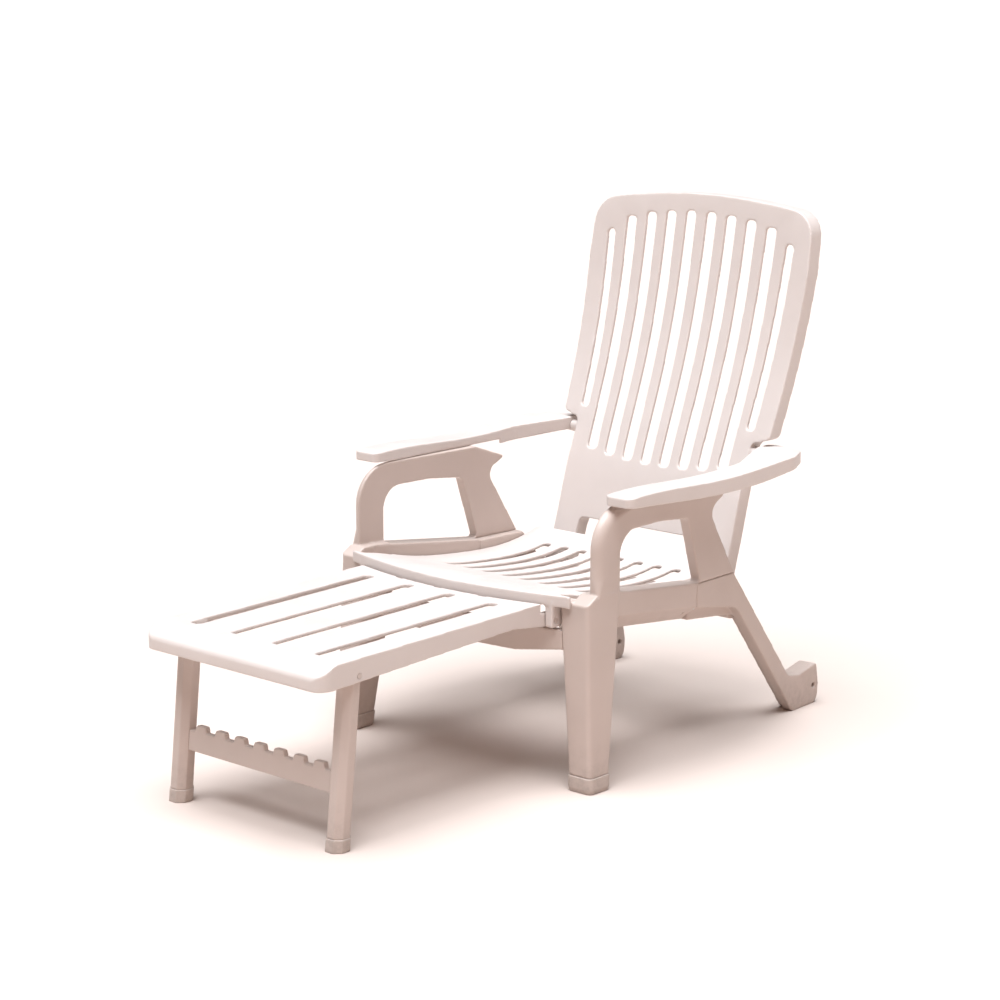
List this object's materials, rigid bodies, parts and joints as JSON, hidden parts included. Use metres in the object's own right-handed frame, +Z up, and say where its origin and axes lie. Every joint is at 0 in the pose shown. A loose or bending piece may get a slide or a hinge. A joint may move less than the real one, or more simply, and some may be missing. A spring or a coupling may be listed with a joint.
{
  "type": "reclining sun lounger",
  "caption": "Moulded plastic garden lounger with a slatted reclining back, swinging armrests and a slatted footrest on fold-up legs.",
  "frame": {"origin": "on the ground under the middle of the whole length and width, with the back upright and the footrest out", "axes": "+Z up, -Y towards the footrest, +X towards the sitter's left"},
  "size_m": [0.714, 1.3647, 1.0279],
  "materials": {
    "panel_resin": "white moulded polypropylene, fine satin grain",
    "frame_resin": "white moulded polypropylene, satin",
    "cap_plastic": "off-white plastic scuffed by the ground",
    "pin_plastic": "smooth white plastic",
    "screw_steel": "zinc plated steel"
  },
  "bodies": {
    "frame": {"arm_guide_peg_left": "pin_plastic", "arm_guide_peg_right": "pin_plastic", "back_hinge_pin_left": "pin_plastic", "back_hinge_pin_right": "pin_plastic", "cross_rail_screws": "screw_steel", "footrest_hinge_pin_left": "pin_plastic", "footrest_hinge_pin_right": "pin_plastic", "front_cross_rail": "frame_resin", "front_foot_cap_left": "cap_plastic", "front_foot_cap_right": "cap_plastic", "rear_cross_rail": "frame_resin", "rear_leg_left": "frame_resin", "rear_leg_right": "frame_resin", "rear_leg_screws": "screw_steel", "seat_panel": "panel_resin", "seat_screws": "screw_steel", "side_frame_left": "frame_resin", "side_frame_right": "frame_resin"},
    "back": {"back_panel": "panel_resin", "arm_pivot_pin_left": "pin_plastic", "arm_pivot_pin_right": "pin_plastic"},
    "arm_left": {"armrest_left": "panel_resin"},
    "arm_right": {"armrest_right": "panel_resin"},
    "footrest": {"footrest_panel": "panel_resin", "footrest_leg_pin_left": "pin_plastic", "footrest_leg_pin_right": "pin_plastic"},
    "footrest_legs": {"footrest_leg_left": "frame_resin", "footrest_leg_right": "frame_resin", "footrest_crossbar": "frame_resin", "footrest_foot_cap_left": "cap_plastic", "footrest_foot_cap_right": "cap_plastic"}
  },
  "joints": [
    {"name": "back_recline", "type": "hinge", "parent": "frame", "child": "back", "pos_m": [0, 0.4065, 0.248], "axis": [-1, 0, 0], "range_deg": [0, 35]},
    {"name": "arm_left_swing", "type": "hinge", "parent": "back", "child": "arm_left", "pos_m": [0.2528, 0.5135, 0.536], "axis": [1, 0, 0], "range_deg": [0, 19.1]},
    {"name": "arm_right_swing", "type": "hinge", "parent": "back", "child": "arm_right", "pos_m": [-0.2528, 0.5135, 0.536], "axis": [1, 0, 0], "range_deg": [0, 19.1]},
    {"name": "footrest_tilt", "type": "hinge", "parent": "frame", "child": "footrest", "pos_m": [0, -0.1045, 0.316], "axis": [1, 0, 0], "range_deg": [0, 30]},
    {"name": "footrest_legs_fold", "type": "hinge", "parent": "footrest", "child": "footrest_legs", "pos_m": [0, -0.5905, 0.308], "axis": [1, 0, 0], "range_deg": [0, 94]}
  ],
  "couplings": [
    {"joint": "arm_left_swing", "follows": "back_recline", "ratio": 0.545},
    {"joint": "arm_right_swing", "follows": "back_recline", "ratio": 0.545}
  ]
}
